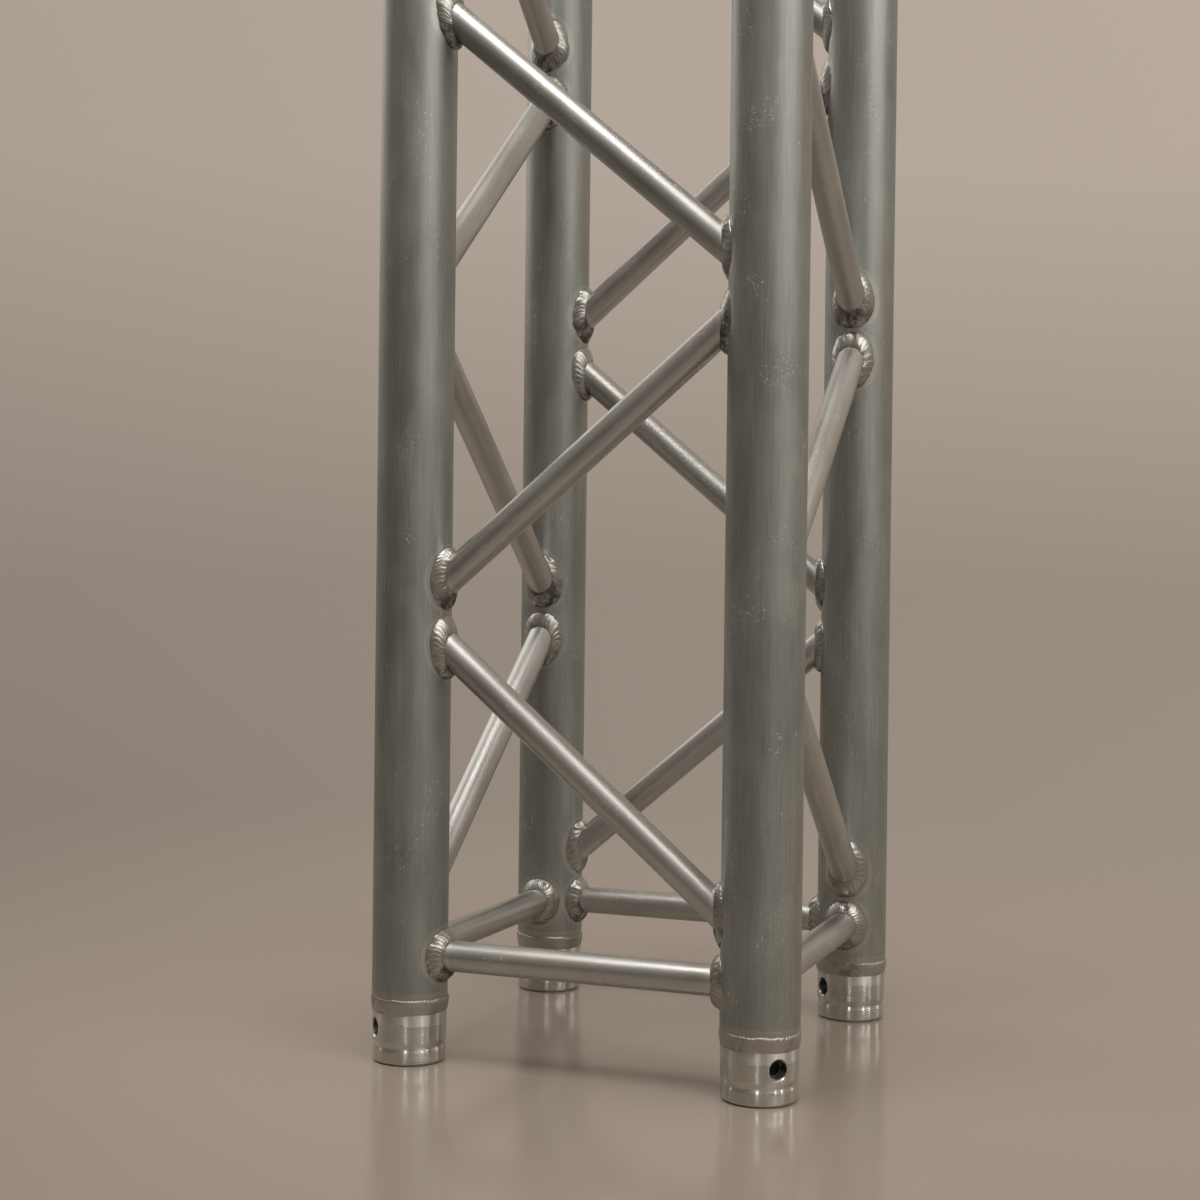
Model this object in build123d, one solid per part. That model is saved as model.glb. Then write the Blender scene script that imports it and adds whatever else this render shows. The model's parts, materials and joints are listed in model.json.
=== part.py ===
from build123d import *
import math
import os

# A one metre section of square aluminium lighting truss, standing on end.
# Millimetres, +Z up. The origin is on the floor, in the middle of the four chords.
# Everything is welded: four chord tubes, a machined receiver in both ends of each,
# and on every face two rungs and a zig-zag of diagonals cut to fit the chords.

# ---- the truss as a whole -------------------------------------------------------
section_length = 1000.0        # from one set of receiver end faces to the other
chord_spacing = 240.0          # between the centre lines of neighbouring chords
diagonal_count = 4             # diagonals on each face, from end to end

# ---- tubes ----------------------------------------------------------------------
chord_diameter = 50.0
chord_wall = 2.0
brace_diameter = 20.0          # rungs and diagonals are the same tube
brace_wall = 2.0

# ---- receivers, measured from their own end face --------------------------------
receiver_reach = 38.0          # from the end face to the middle of the girth weld
receiver_setback = 0.7         # how much smaller in radius than the chord tube
spigot_length = 34.0           # the part hidden inside the chord tube
spigot_clearance = 0.05        # radial, between the spigot and the chord's bore
spigot_lead = 1.5              # chamfer that guides the spigot into the tube
land_height = 8.7              # plain ring at the end face
land_setback = 0.5             # how much smaller in radius than the receiver's body
groove_width = 6.0             # shallow turned groove above that ring
groove_depth = 0.5             # below the ring's surface
groove_low_side = 2.4          # height of its lower, steeper side
end_chamfer = 1.5

# ---- the tapered socket and its cross pin ---------------------------------------
socket_mouth_radius = 16.0
socket_throat_radius = 13.5
socket_depth = 60.0            # length of the taper, then the throat runs straight through
socket_chamfer = 1.2
pin_hole_radius = 6.0
pin_hole_height = 23.0         # above the end face
pin_hole_countersink = 1.0     # extra radius where the hole breaks out

# ---- welds ----------------------------------------------------------------------
root_gap = 2.0                 # between the receiver's shoulder and the chord's end
tube_bevel = 1.5               # weld preparation on the chord's end
girth_weld_width = 10.0
girth_weld_height = 1.0        # how far the cap stands proud of the chord
weld_leg = 6.5                 # leg of the fillet round each brace end
weld_clearance = 5.0           # bare chord left between neighbouring fillets on a face
rung_clearance = 10.5          # bare chord left between the girth weld and a rung's fillet

# ---- worked out from the sizes above --------------------------------------------
chord_radius = chord_diameter / 2
chord_bore_radius = chord_radius - chord_wall
brace_radius = brace_diameter / 2
brace_bore_radius = brace_radius - brace_wall
half_spacing = chord_spacing / 2
receiver_radius = chord_radius - receiver_setback
spigot_radius = chord_bore_radius - spigot_clearance
shoulder_height = receiver_reach - root_gap / 2
chord_end_height = receiver_reach + root_gap / 2
girth_weld_low = receiver_reach - girth_weld_width / 2
girth_weld_high = receiver_reach + girth_weld_width / 2
rung_fillet_half_height = brace_radius + weld_leg
rung_height = girth_weld_high + rung_clearance + rung_fillet_half_height

face_names = ["front", "right", "back", "left"]
corner_names = ["front_left", "front_right", "back_right", "back_left"]


def lattice():
    """Where the diagonals run, on the chords' centre lines: the height of the lowest end,
    the rise of each diagonal, and the step from one diagonal's low end to the next one's.
    The fillets of neighbouring diagonals stay clear of each other on the chord's surface.
    Their size depends on the slope, so it is settled by repeated substitution."""
    rise = chord_spacing
    for _ in range(40):
        slope = math.atan2(rise, chord_spacing)
        fillet_half_height = brace_radius / math.cos(slope) + weld_leg
        surface_shift = chord_radius * math.tan(slope)
        split = 2 * fillet_half_height + weld_clearance - 2 * surface_shift
        rung_fillet_top = rung_height + rung_fillet_half_height
        lowest = rung_fillet_top + weld_clearance + fillet_half_height - surface_shift
        rise = (section_length - 2 * lowest - (diagonal_count - 1) * split) / diagonal_count
    return lowest, rise, rise + split


node_height, diagonal_rise, diagonal_step = lattice()
diagonal_slope = math.degrees(math.atan2(diagonal_rise, chord_spacing))
diagonal_length = math.hypot(diagonal_rise, chord_spacing)


def turned(profile):
    """A solid turned about Z from (radius, height) corners."""
    outline = Plane.XZ * make_face(Polyline(*profile, close=True))
    return revolve(outline, Axis.Z)


def at_corner(shape, corner):
    """Puts a shape made about the Z axis on one of the four chord centre lines. The
    corners are quarter turns of one another, so the shape turns with its corner."""
    first_corner = Pos(-half_spacing, -half_spacing, 0)
    return Rot(0, 0, 90 * corner) * first_corner * shape


# ---- chords ---------------------------------------------------------------------
def chord_tube():
    length = section_length - 2 * chord_end_height
    low = chord_end_height
    high = low + length
    land = chord_radius - tube_bevel
    profile = [
        (chord_bore_radius, low),
        (land, low),
        (chord_radius, low + tube_bevel),
        (chord_radius, high - tube_bevel),
        (land, high),
        (chord_bore_radius, high),
    ]
    return turned(profile)


# ---- receivers ------------------------------------------------------------------
def receiver_blank():
    """The turned body, with its tapered socket, before the cross hole is drilled."""
    land_radius = receiver_radius - land_setback
    groove_radius = land_radius - groove_depth
    shoulder_bevel = receiver_radius - spigot_radius
    top = shoulder_height + spigot_length
    mouth_taper = (socket_mouth_radius - socket_throat_radius) / socket_depth
    chamfer_inner_radius = socket_mouth_radius - mouth_taper * socket_chamfer
    profile = [
        (socket_mouth_radius + socket_chamfer, 0),
        (land_radius - end_chamfer, 0),
        (land_radius, end_chamfer),
        (land_radius, land_height),
        (groove_radius, land_height + groove_low_side),
        (receiver_radius, land_height + groove_width),
        (receiver_radius, shoulder_height - shoulder_bevel),
        (spigot_radius, shoulder_height),
        (spigot_radius, top - spigot_lead),
        (spigot_radius - spigot_lead, top),
        (socket_throat_radius, top),
        (socket_throat_radius, socket_depth),
        (chamfer_inner_radius, socket_chamfer),
    ]
    return turned(profile)


def cross_hole():
    """The drill that makes the pin hole, along X, with a countersink at both mouths."""
    hole = Rot(0, 90, 0) * Cylinder(pin_hole_radius, 2 * chord_diameter)
    flank_depth = math.sqrt(receiver_radius**2 - pin_hole_radius**2)
    sink_length = receiver_radius - flank_depth + pin_hole_countersink
    sink = Cone(pin_hole_radius, pin_hole_radius + 2 * sink_length, 2 * sink_length)
    sink_centre = flank_depth - pin_hole_countersink / 2 + sink_length
    outward = Pos(sink_centre, 0, 0) * Rot(0, 90, 0) * sink
    drill = hole + outward + Rot(0, 0, 180) * outward
    return Pos(0, 0, pin_hole_height) * drill


def receiver():
    """The cross pin lies on the line from the middle of the truss through the corner."""
    return receiver_blank() - Rot(0, 0, 45) * cross_hole()


# ---- girth welds ----------------------------------------------------------------
def girth_weld():
    """The ring that fills the groove between receiver and chord, with a low cap."""
    shoulder_bevel = receiver_radius - spigot_radius
    cap_radius = chord_radius + girth_weld_height
    section = [
        Line((spigot_radius, shoulder_height), (spigot_radius, chord_end_height)),
        Line((spigot_radius, chord_end_height), (chord_radius - tube_bevel, chord_end_height)),
        Line(
            (chord_radius - tube_bevel, chord_end_height),
            (chord_radius, chord_end_height + tube_bevel),
        ),
        Line((chord_radius, chord_end_height + tube_bevel), (chord_radius, girth_weld_high)),
        ThreePointArc(
            (chord_radius, girth_weld_high),
            (cap_radius, receiver_reach),
            (receiver_radius, girth_weld_low),
        ),
        Line((receiver_radius, girth_weld_low), (receiver_radius, shoulder_height - shoulder_bevel)),
        Line((receiver_radius, shoulder_height - shoulder_bevel), (spigot_radius, shoulder_height)),
    ]
    return revolve(Plane.XZ * make_face(section), Axis.Z)


# ---- braces on the front face ---------------------------------------------------
def chord_rods():
    """Solid rods where the front face's two chords are, for cutting brace ends."""
    rod = Pos(0, 0, section_length / 2) * Cylinder(chord_radius, section_length)
    left = Pos(-half_spacing, -half_spacing, 0) * rod
    right = Pos(half_spacing, -half_spacing, 0) * rod
    return [left, right]


def brace(length, tilt, height):
    """A tube between the two front chords, its ends cut to sit on their surfaces.
    Tilt is in degrees from level, positive when the right-hand end is higher."""
    tube = Cylinder(brace_radius, length) - Cylinder(brace_bore_radius, length)
    placed = Pos(0, -half_spacing, height) * Rot(0, 90 - tilt, 0) * tube
    return placed - chord_rods()


def rung(height):
    return brace(chord_spacing, 0, height)


def diagonal(number):
    """Diagonals are counted from the bottom. The first climbs from right to left as
    seen from outside, the next from left to right, and so on."""
    tilt = -diagonal_slope if number % 2 == 0 else diagonal_slope
    middle = node_height + diagonal_step * number + diagonal_rise / 2
    return brace(diagonal_length, tilt, middle)


def on_face(shape, face):
    return Rot(0, 0, 90 * face) * shape


# ---- fillet welds round the brace ends ------------------------------------------
def fillet_bead(tilt):
    """The bead round a brace that leaves a chord on the Z axis towards +X, at height 0
    on the centre line and rising by tilt degrees. Both bars are turned so that the line
    where a cylinder's face closes on itself doesn't cross the seam's tight ends."""
    reach = chord_spacing / 2
    rod = Rot(0, 0, 180) * Cylinder(chord_radius, chord_spacing)
    round_bar = Rot(0, 0, 90) * Cylinder(brace_radius, reach)
    stub = Rot(0, 90 - tilt, 0) * Pos(0, 0, reach / 2) * round_bar
    stub_outside = stub - rod
    joint = rod + stub_outside
    toe_height = chord_radius * math.tan(math.radians(tilt))
    seam_middle = Vector(chord_radius, 0, toe_height)
    seam = joint.edges().filter_by(GeomType.LINE, reverse=True).sort_by_distance(seam_middle)[0]
    return chamfer(seam, weld_leg) - rod - stub


def corner_beads():
    """All the beads on the front left chord, made about the Z axis. Braces of the front
    face leave towards +X and braces of the left face towards +Y."""
    level = fillet_bead(0)
    rising = fillet_bead(diagonal_slope)
    falling = fillet_bead(-diagonal_slope)
    beads = []
    for height in (rung_height, section_length - rung_height):
        for turn in (0, 90):
            beads.append(Pos(0, 0, height) * Rot(0, 0, turn) * level)
    for number in range(diagonal_count):
        low_end = node_height + diagonal_step * number
        high_end = low_end + diagonal_rise
        low_turn, high_turn = (90, 0) if number % 2 == 0 else (0, 90)
        beads.append(Pos(0, 0, low_end) * Rot(0, 0, low_turn) * rising)
        beads.append(Pos(0, 0, high_end) * Rot(0, 0, high_turn) * falling)
    return beads


# ---- writing the pieces ---------------------------------------------------------
def write(name, *shapes):
    solids = [solid for shape in shapes for solid in shape.solids()]
    whole = solids[0] if len(solids) == 1 else Compound(solids)
    export_step(whole, f"parts/{name}.step")


def write_corners():
    tube = chord_tube()
    bottom_receiver = receiver()
    bottom_weld = girth_weld()
    beads = corner_beads()
    for corner, name in enumerate(corner_names):
        write(f"chord_{name}", at_corner(tube, corner))
        write(f"brace_welds_{name}", *[at_corner(bead, corner) for bead in beads])
        for part_name, shape in (("receiver", bottom_receiver), ("girth_weld", bottom_weld)):
            placed = at_corner(shape, corner)
            write(f"{part_name}_bottom_{name}", placed)
            write(f"{part_name}_top_{name}", Pos(0, 0, section_length) * mirror(placed, Plane.XY))


def write_faces():
    bottom_rung = rung(rung_height)
    top_rung = rung(section_length - rung_height)
    diagonals = [diagonal(number) for number in range(diagonal_count)]
    for face, name in enumerate(face_names):
        write(f"{name}_rung_bottom", on_face(bottom_rung, face))
        write(f"{name}_rung_top", on_face(top_rung, face))
        for number, shape in enumerate(diagonals):
            write(f"{name}_diagonal_{number + 1}", on_face(shape, face))


os.makedirs("parts", exist_ok=True)
write_corners()
write_faces()
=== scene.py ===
import json
import math

import bpy
import numpy as np
from mathutils import Matrix, Vector

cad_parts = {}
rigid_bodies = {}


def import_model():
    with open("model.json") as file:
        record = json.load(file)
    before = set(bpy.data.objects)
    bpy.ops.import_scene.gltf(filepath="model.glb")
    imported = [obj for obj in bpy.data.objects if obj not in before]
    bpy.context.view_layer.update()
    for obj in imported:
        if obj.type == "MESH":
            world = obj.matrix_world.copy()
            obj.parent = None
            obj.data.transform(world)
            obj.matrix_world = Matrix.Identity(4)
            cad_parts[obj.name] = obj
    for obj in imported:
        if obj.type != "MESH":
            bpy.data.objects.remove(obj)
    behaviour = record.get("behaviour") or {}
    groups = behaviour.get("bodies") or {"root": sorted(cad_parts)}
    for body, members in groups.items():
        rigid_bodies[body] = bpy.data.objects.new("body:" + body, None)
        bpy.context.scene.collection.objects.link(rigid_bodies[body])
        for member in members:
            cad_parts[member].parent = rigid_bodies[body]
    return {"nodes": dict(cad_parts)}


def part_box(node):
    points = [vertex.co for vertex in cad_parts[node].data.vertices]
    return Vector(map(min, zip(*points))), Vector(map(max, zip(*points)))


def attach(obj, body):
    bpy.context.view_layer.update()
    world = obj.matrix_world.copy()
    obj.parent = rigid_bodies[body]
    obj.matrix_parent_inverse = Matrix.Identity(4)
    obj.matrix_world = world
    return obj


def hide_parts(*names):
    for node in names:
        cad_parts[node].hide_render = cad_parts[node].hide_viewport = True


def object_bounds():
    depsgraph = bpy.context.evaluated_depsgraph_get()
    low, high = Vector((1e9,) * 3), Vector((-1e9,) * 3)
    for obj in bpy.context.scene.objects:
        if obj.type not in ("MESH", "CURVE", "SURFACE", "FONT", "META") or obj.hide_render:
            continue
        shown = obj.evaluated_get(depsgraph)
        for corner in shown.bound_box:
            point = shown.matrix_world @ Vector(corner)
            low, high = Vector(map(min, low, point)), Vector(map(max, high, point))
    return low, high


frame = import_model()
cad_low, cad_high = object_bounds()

# Looks of a welded aluminium box truss section that stands on end. Lengths are in metres,
# and a wobble is how far a line usually strays from its middle.

corner_names = ["front_left", "front_right", "back_right", "back_left"]
face_names = ["front", "right", "back", "left"]
end_names = ["bottom", "top"]
diagonal_count = sum(name.startswith("front_diagonal_") for name in frame["nodes"])

# Chord tubes, extruded
chord_wall = 0.002
chord_bevel = 0.0015
chord_steps_round = 160
chord_rows = 560
chord_rows_inside = 24
dent_count = 9
dent_depth = 0.00012
dent_radius = 0.011
dent_stretch = 1.8         # how much longer a dent is along the tube than round it

# Braces, drawn tube, cut to a saddle at each end
brace_wall = 0.002
brace_steps_round = 72
brace_rows = 120
brace_rows_inside = 10
saddle_bite = 0.0003       # how far a brace's end goes into the chord

# Fillet welds round the brace ends
fillet_leg = 0.0068
fillet_tip = 0.0008        # how much longer the leg is above and below the brace
fillet_bulge = 0.0011
fillet_bulge_wobble = 0.00025
fillet_leg_wobble = 0.0004
fillet_root_depth = 0.0008
fillet_steps_round = 400
fillet_steps_across = 26
ripple_pitch = 0.0032
ripple_height = 0.00011
ripple_arc = 0.0035        # how far a ripple's middle lags behind its ends
ripple_step = 0.16         # share of a ripple's length that its steep side takes
ripple_on_chord = 0.00016  # how far a ripple stands out at the weld's edge on the chord
ripple_on_brace = 0.00012
toe_sink = 0.00018         # how far a weld's edges are below the tubes' surfaces
crater_depth = 0.0013
crater_radius = 0.0017
crater_rim = 0.0035
crater_ring = 0.0013       # spacing of the rings in a crater
crater_lip = 0.0004
crater_lip_width = 0.0009
start_lump_height = 0.0004
start_lump_radius = 0.004

# Girth welds round the chord ends
girth_steps_round = 900
girth_steps_across = 30
girth_cap = 0.00075        # average height over the tubes
girth_scale_pitch = 0.0023
girth_scale_height = 0.00016
girth_line_pitch = 0.0017
girth_line_height = 0.00005
girth_scale_slant = 2.2    # scales that a scale slants by across the whole weld
girth_cap_wobble = 0.0002
girth_chord_toe_wobble = 0.0003
girth_scale_on_chord = 0.0004  # how far a scale stands out at the weld's edge on the chord
girth_receiver_toe_wobble = 0.00015
girth_root_depth = 0.0015
girth_overlap = 0.004      # how far the weld laps over the chord's end

# Cleaned band beside each weld
halo_reach = 0.04          # the distance to a weld is worked out up to here
halo_search = 0.07         # a weld is looked for within this distance
halo_ring = 0.0011         # spacing of the band's fine rings
halo_stray = 0.0022        # how far the band's edge strays
halo_softness = 0.0014     # width over which the band fades out
chord_halo = 0.0034        # width of the band on each kind of piece
brace_halo = 0.003
receiver_halo = 0.0072

# Receivers, turned. Heights are measured from the open end.
receiver_steps_round = 192
receiver_step = 0.0011     # spacing of the points along the outline
receiver_edge = 0.00012    # how much each corner of the outline is softened
receiver_sharp_angle = math.radians(28)
socket_mouth_radius = 0.016
socket_throat_radius = 0.0135
socket_depth = 0.060
socket_chamfer = 0.0012
end_chamfer = 0.0015
land_radius = 0.0238
land_top = 0.0087
groove_radius = 0.0233
groove_deepest = 0.0111
groove_top = 0.0147
body_top = 0.0355
body_chamfer = 0.0012
body_chamfer_height = 0.0008
shoulder_height = 0.0015   # from the top of the body to the spigot
weld_line_height = 0.033   # where the girth weld's edge is on the body
spigot_radius = 0.02295
spigot_lead = 0.0015
pin_hole_radius = 0.006
pin_hole_height = 0.023
pin_hole_countersink = 0.001  # added to the hole's radius at its edge
countersink_depth = 0.00125
hole_steps_round = 96
cutter_flare = 0.003       # how far the cutter flares on outside the receiver
cutter_overrun = 0.004     # how far it goes on in all

# Colours and roughness of the metals
chord_dark = (0.345, 0.362, 0.342, 1)
chord_light = (0.475, 0.494, 0.467, 1)
die_line_colour = (0.25, 0.264, 0.25, 1)
fine_line_colour = (0.218, 0.229, 0.217, 1)
smear_colour = (0.52, 0.52, 0.495, 1)
chord_scratch = (0.80, 0.80, 0.78, 1)
chord_cleaned = (0.50, 0.485, 0.455, 1)
chord_cleaned_edge = (0.72, 0.71, 0.69, 1)
chord_roughness = (0.45, 0.55)
brace_dark = (0.49, 0.495, 0.475, 1)
brace_light = (0.60, 0.605, 0.585, 1)
brace_line_colour = (0.38, 0.385, 0.37, 1)
brace_speck = (0.86, 0.86, 0.84, 1)
brace_cleaned = (0.66, 0.655, 0.63, 1)
brace_cleaned_edge = (0.80, 0.80, 0.78, 1)
brace_roughness = (0.34, 0.43)
receiver_dark = (0.52, 0.522, 0.485, 1)
receiver_light = (0.63, 0.632, 0.595, 1)
receiver_scuff = (0.40, 0.40, 0.38, 1)
receiver_scratch = (0.46, 0.46, 0.44, 1)
receiver_cleaned = (0.62, 0.615, 0.59, 1)
receiver_roughness = (0.19, 0.27)
turned_anisotropy = 0.9
# Each weld's colour runs from painted shade in the hollows between its scales to a painted highlight on
# their ridges
fillet_hollow_shade = (0.34, 0.335, 0.31, 1)
fillet_ridge_highlight = (0.48, 0.48, 0.45, 1)
fillet_roughness = 0.24
girth_hollow_shade = (0.42, 0.405, 0.38, 1)
girth_ridge_highlight = (0.52, 0.51, 0.48, 1)
girth_roughness = 0.33
weld_cloud = (0.55, 0.545, 0.52, 1)
# The colour of soot, which on the fillet welds' lower sides also stands for painted shade
soot_and_shade_colour = (0.09, 0.085, 0.08, 1)
pit_colour = (0.12, 0.115, 0.11, 1)

# Stage
floor_half_size = 40.0
floor_fade_start = 0.3     # distance from the object where the backdrop begins to take over
floor_fade_end = 1.5
floor_roughness = 0.17
backdrop_colour = (0.50, 0.42, 0.355, 1)
horizon_colour = (0.345, 0.288, 0.238, 1)
horizon_top = 0.22         # height, on a unit ball, where the horizon's colour ends
dim_side_colour = (0.055, 0.053, 0.050, 1)
floor_colour = (0.33, 0.283, 0.24, 1)
# The backdrop is palest towards bright_way. How far a direction faces that way is given by a
# dot product, which is dim_limit where the backdrop is dimmest.
bright_angle = math.radians(55)  # from the right towards the back
bright_way = (math.cos(bright_angle), math.sin(bright_angle), 0.55)
dim_limit = -1.0
bright_limit = 1.15
dim_narrowing = 0.5        # the less it is, the narrower the dim part

# Soft lamps: azimuth from the front in degrees, distance, height, size, watts
soft_lamps = {
    "overhead": (-8, 0.7, 2.7, (1.1, 1.1), 31),
    "right": (68, 2.5, 2.3, (2.4, 2.0), 34),
    "left": (-110, 2.5, 2.0, (2.0, 2.0), 14),
}
lamp_colour = (1.0, 0.98, 0.95)

# Narrow upright lamps that only light the bottom receivers, for the streaks on turned metal:
# azimuth from the front in degrees, width, watts
strip_lamps = [(12, 0.05, 5.5), (64, 0.05, 5.0), (84, 0.06, 5.5), (124, 0.10, 6.0), (-74, 0.08, 2.0)]
strip_distance = 2.8
strip_height = 0.75
strip_length = 1.9

# Camera
camera_distance = 1.2887
camera_azimuth = math.radians(19.64)
camera_height = 0.3142
camera_turn = math.radians(1.445)
camera_tilt = math.radians(-0.471)
camera_roll = math.radians(0.673)
camera_lens = 55.46        # millimetres, as is the sensor's width
camera_sensor = 36


# ---------------------------------------------------------------- numbers from the CAD

chord_low, chord_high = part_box("chord_front_right")
chord_radius = (chord_high.x - chord_low.x) / 2
chord_bottom = chord_low.z
chord_top = chord_high.z
half_spacing = (chord_low.x + chord_high.x) / 2
rung_low, rung_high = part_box("front_rung_bottom")
brace_radius = (rung_high.z - rung_low.z) / 2
section_length = cad_high.z - cad_low.z


def corner_centre(corner):
    """A chord's axis, at height 0."""
    low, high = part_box("chord_" + corner)
    return np.array([(low.x + high.x) / 2, (low.y + high.y) / 2, 0.0])


def across(face):
    """Unit vector from a face's left chord to its right one, seen from outside."""
    angle = math.radians(90 * face_names.index(face))
    return np.array([math.cos(angle), math.sin(angle), 0.0])


def outward(face):
    """Unit vector out of a face."""
    side = across(face)
    return np.array([side[1], -side[0], 0.0])


def tilt_of(cad_node, climbs_right):
    """Angle of a brace above the level, from the height of its box between two saddle cuts."""
    low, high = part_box(cad_node)
    half_height = (high.z - low.z) / 2
    inner_half = half_spacing - chord_radius
    angle = math.acos(brace_radius / math.hypot(half_height, inner_half))
    angle -= math.atan2(inner_half, half_height)
    return angle if climbs_right else -angle


def braces():
    """Each brace as (CAD node, face, tilt, height of its middle)."""
    found = []
    for face in face_names:
        cad_nodes = [f"{face}_rung_{end}" for end in end_names]
        cad_nodes += [f"{face}_diagonal_{number + 1}" for number in range(diagonal_count)]
        for cad_node in cad_nodes:
            low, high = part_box(cad_node)
            climbs_right = cad_node.endswith(("_2", "_4"))
            tilt = tilt_of(cad_node, climbs_right)
            found.append((cad_node, face, tilt, (low.z + high.z) / 2))
    return found


def brace_ends():
    """Each brace end as (corner, direction to the other chord, face normal, lean, height)."""
    found = []
    for _, face, tilt, middle in braces():
        index = face_names.index(face)
        rise = half_spacing * math.tan(tilt)
        left = corner_names[index]
        right = corner_names[(index + 1) % 4]
        found.append((left, across(face), outward(face), tilt, middle - rise))
        found.append((right, -across(face), outward(face), -tilt, middle + rise))
    return found


# ---------------------------------------------------------------- meshes

UP = np.array([0.0, 0.0, 1.0])


def ring_faces(steps_round, rows):
    """Quads of a grid that closes on itself both ways, like a torus."""
    i, j = np.meshgrid(np.arange(steps_round), np.arange(rows), indexing="ij")
    next_i = (i + 1) % steps_round
    next_j = (j + 1) % rows
    quads = [i * rows + j, next_i * rows + j, next_i * rows + next_j, i * rows + next_j]
    return np.stack(quads, -1).reshape(-1, 4)


def make_piece(name, grids, material, replaced, values):
    """One mesh from closed grids of points. values are named lists of per-point numbers or vectors."""
    points = []
    faces = []
    first = 0
    for grid in grids:
        steps_round, rows = grid.shape[:2]
        points.append(grid.reshape(-1, 3))
        faces.append(ring_faces(steps_round, rows) + first)
        first += steps_round * rows
    points = np.concatenate(points)
    faces = np.concatenate(faces)
    mesh = bpy.data.meshes.new(name)
    mesh.vertices.add(len(points))
    mesh.vertices.foreach_set("co", points.astype(np.float32).ravel())
    mesh.loops.add(faces.size)
    mesh.loops.foreach_set("vertex_index", faces.astype(np.int32).ravel())
    mesh.polygons.add(len(faces))
    mesh.polygons.foreach_set("loop_start", np.arange(0, faces.size, 4, dtype=np.int32))
    mesh.update(calc_edges=True)
    for label, numbers in values.items():
        kind = "FLOAT_VECTOR" if numbers.shape[-1] == 3 and numbers.ndim > 1 else "FLOAT"
        made = mesh.attributes.new(label, kind, "POINT")
        field = "vector" if kind == "FLOAT_VECTOR" else "value"
        made.data.foreach_set(field, numbers.astype(np.float32).ravel())
    face_outward(mesh, points)
    mesh.polygons.foreach_set("use_smooth", np.ones(len(mesh.polygons), bool))
    mesh.materials.append(material)
    piece = bpy.data.objects.new(name, mesh)
    bpy.context.scene.collection.objects.link(piece)
    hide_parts(*replaced)
    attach(piece, "root")
    return piece


def face_outward(mesh, points):
    """Turns all faces over when the closed mesh has a negative volume."""
    corners = np.zeros(len(mesh.loops), np.int32)
    mesh.loops.foreach_get("vertex_index", corners)
    quad = points[corners.reshape(-1, 4)]
    first = np.einsum("ij,ij->i", quad[:, 0], np.cross(quad[:, 1], quad[:, 2]))
    second = np.einsum("ij,ij->i", quad[:, 0], np.cross(quad[:, 2], quad[:, 3]))
    if first.sum() + second.sum() < 0:
        mesh.flip_normals()


def wobble(rng, turn, waves, size):
    """A smooth random closed line round a ring. size is how far it usually is from its middle."""
    total = np.zeros_like(turn)
    for wave in waves:
        total = total + rng.normal() * np.sin(wave * turn + rng.uniform(0, 2 * math.pi))
    return size * total / math.sqrt(len(waves))


def ripple_shape(phase):
    """Height from 0 to 1 of overlapping weld scales: a steep step up, then a gentle slope down."""
    part = phase - np.floor(phase)
    step_up = np.clip(part / ripple_step, 0, 1)
    slope_down = 1 - np.clip((part - ripple_step) / (1 - ripple_step), 0, 1)
    return step_up * step_up * (3 - 2 * step_up) * slope_down ** 1.3


def saddle_length(turn, lean):
    """Distance along a brace from the chord's axis to the chord's surface."""
    side = brace_radius * np.sin(turn)
    reach = np.sqrt(chord_radius ** 2 - side ** 2)
    return (reach + brace_radius * math.sin(lean) * np.cos(turn)) / math.cos(lean)


def seam_on_chord(turn, lean):
    """Where a brace meets the chord, on the unrolled chord: distance round it, and height."""
    side = brace_radius * np.sin(turn)
    round_chord = chord_radius * np.arcsin(side / chord_radius)
    along = saddle_length(turn, lean)
    height = along * math.sin(lean) + brace_radius * np.cos(turn) * math.cos(lean)
    return round_chord, height


def toe_on_chord(turn, lean, leg):
    """The seam moved outwards by leg, on the unrolled chord."""
    round_chord, height = seam_on_chord(turn, lean)
    step_round = np.roll(round_chord, -1) - np.roll(round_chord, 1)
    step_up = np.roll(height, -1) - np.roll(height, 1)
    size = np.hypot(step_round, step_up)
    normal_round = step_up / size
    normal_up = -step_round / size
    outside = normal_round * round_chord + normal_up * (height - height.mean())
    sign = np.sign(outside.sum())
    return round_chord + sign * leg * normal_round, height + sign * leg * normal_up


def crater_shape(to_crater, crown):
    """Height of the hollow where the last run of a weld ends, and of the low lip round it."""
    hollow = crater_depth * np.exp(-(to_crater / crater_radius) ** 2)
    lip = crater_lip * np.exp(-((to_crater - crater_rim) / crater_lip_width) ** 2)
    return lip * crown - hollow


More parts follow.
